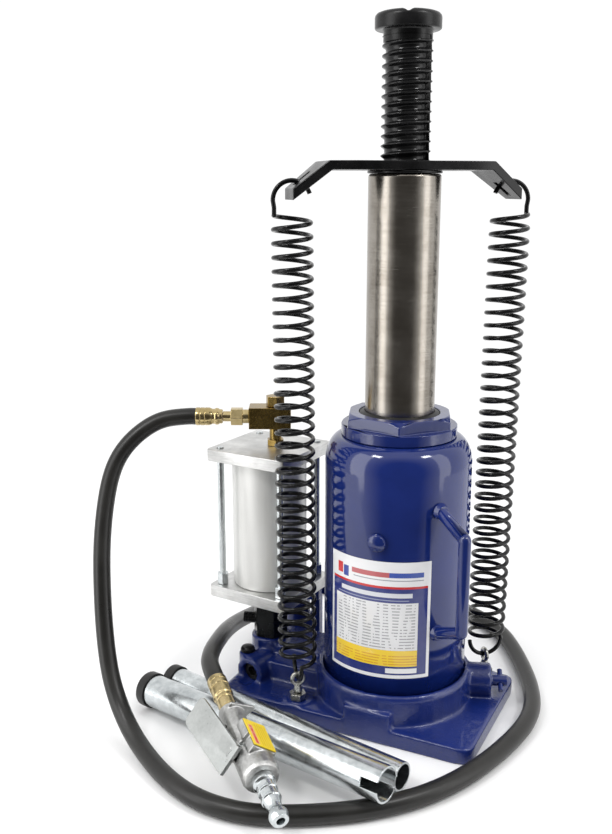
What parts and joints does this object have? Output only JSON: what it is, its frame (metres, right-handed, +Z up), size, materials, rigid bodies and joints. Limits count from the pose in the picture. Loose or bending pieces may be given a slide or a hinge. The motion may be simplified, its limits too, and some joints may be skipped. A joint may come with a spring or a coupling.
{
  "type": "car jack",
  "caption": "Air and hand operated bottle jack with ram, extension screw and return springs, an air motor with hose and hand valve, and a pump handle in tubes.",
  "frame": {"origin": "on the floor, at the underside of the base, under the axis of the ram", "axes": "+Z up along the ram, +X along the base towards the release valve, +Y towards the back"},
  "size_m": [0.3187, 0.3937, 0.501],
  "materials": {
    "blue_paint": "gloss",
    "black_finish": "semi-gloss",
    "rubber": "matt",
    "steel": "ground",
    "zinc": "zinc plated",
    "aluminium": "satin",
    "brass": "machined",
    "label": "gloss",
    "sticker": "gloss"
  },
  "bodies": {
    "base": {"base_casting": "blue_paint", "reservoir_tank": "blue_paint", "filler_plug": "blue_paint", "top_cap_nut": "blue_paint", "carry_handle": "blue_paint", "spring_left": "black_finish", "spring_right": "black_finish", "pump_gland_nut": "black_finish", "valve_plug": "black_finish", "suction_plug": "black_finish", "ram_wiper": "rubber", "air_hose": "rubber", "pressure_cylinder": "steel", "motor_return_spring": "steel", "eyebolt_left": "zinc", "eyebolt_right": "zinc", "eyebolt_nut_left": "zinc", "eyebolt_nut_right": "zinc", "motor_tie_rod_1": "zinc", "motor_tie_rod_2": "zinc", "motor_tie_rod_3": "zinc", "motor_tie_rod_4": "zinc", "lever_pin": "zinc", "air_nipple": "zinc", "socket_pivot_pin": "zinc", "motor_lower_plate": "aluminium", "motor_upper_plate": "aluminium", "motor_cylinder": "aluminium", "air_valve_body": "aluminium", "inlet_nipple": "brass", "inlet_block": "brass", "inlet_top_plug": "brass", "hose_union": "brass", "hose_ferrule_jack": "brass", "hose_ferrule_valve": "brass", "valve_adapter": "brass", "reservoir_label": "label", "air_valve_sticker": "sticker"},
    "ram": {"ram": "steel", "piston_seal": "rubber", "ram_top_ring": "black_finish", "spring_bar": "black_finish"},
    "screw_stop": {"screw_stop_ring": "steel"},
    "screw": {"extension_screw": "black_finish"},
    "release_valve": {"release_screw": "blue_paint", "release_cross_pin": "blue_paint"},
    "motor_piston": {"motor_piston": "aluminium"},
    "valve_lever": {"air_valve_lever": "zinc"},
    "valve_plunger": {"valve_plunger": "steel"},
    "socket": {"handle_socket": "blue_paint", "plunger_pin": "zinc"},
    "pump_plunger": {"hand_pump_plunger": "steel"},
    "tube_front": {"handle_tube_front": "zinc", "handle_cap_front": "rubber"},
    "tube_rear": {"handle_tube_rear": "zinc", "handle_cap_rear": "rubber"}
  },
  "joints": [
    {"name": "ram_slide", "type": "slide", "parent": "base", "child": "ram", "axis": [0, 0, 1], "range_m": [-0.15, 0], "deforming": ["spring_left", "spring_right"]},
    {"name": "screw_rise", "type": "slide", "parent": "ram", "child": "screw_stop", "axis": [0, 0, 1], "range_m": [-0.0801, 0]},
    {"name": "screw_turn", "type": "hinge", "parent": "screw_stop", "child": "screw", "pos_m": [0, 0, 0.4], "axis": [0, 0, 1], "range_deg": [-4500, 0]},
    {"name": "release_turn", "type": "hinge", "parent": "base", "child": "release_valve", "pos_m": [0.06578, 0.02394, 0.0225], "axis": [0.9397, 0.342, 0], "range_deg": [0, 360]},
    {"name": "motor_stroke", "type": "slide", "parent": "base", "child": "motor_piston", "axis": [0, 0, 1], "range_m": [-0.03, 0], "stiffness_N_per_m": 400, "springref_m": 0.03, "deforming": ["motor_return_spring"]},
    {"name": "lever_squeeze", "type": "hinge", "parent": "base", "child": "valve_lever", "pos_m": [-0.04603, -0.16252, 0.03525], "axis": [-0.4996, -0.3184, -0.8057], "range_deg": [0, 6], "stiffness_Nm_per_rad": 0.3, "springref_deg": -8.59},
    {"name": "plunger_press", "type": "slide", "parent": "base", "child": "valve_plunger", "axis": [0.483, 0.6697, -0.5641], "range_m": [0, 0.003]},
    {"name": "socket_swing", "type": "hinge", "parent": "base", "child": "socket", "pos_m": [-0.089, 0.049, 0.058], "axis": [0, 1, 0], "range_deg": [-14, 22]},
    {"name": "pump_stroke", "type": "slide", "parent": "base", "child": "pump_plunger", "axis": [0, 0, 1], "range_m": [-0.0046, 0.0071]},
    {"name": "tube_front_slide", "type": "slide", "parent": "base", "child": "tube_front", "axis": [0.9732, -0.2246, 0.0502], "range_m": [0, 0.08]},
    {"name": "tube_rear_slide", "type": "slide", "parent": "base", "child": "tube_rear", "axis": [-0.9792, 0.2028, 0], "range_m": [0, 0.1]}
  ],
  "couplings": [
    {"joint": "screw_rise", "follows": "screw_turn", "m_per_rad": 0.0010186},
    {"joint": "plunger_press", "follows": "lever_squeeze", "m_per_rad": 0.024},
    {"joint": "pump_stroke", "follows": "socket_swing", "m_per_rad": 0.018}
  ]
}
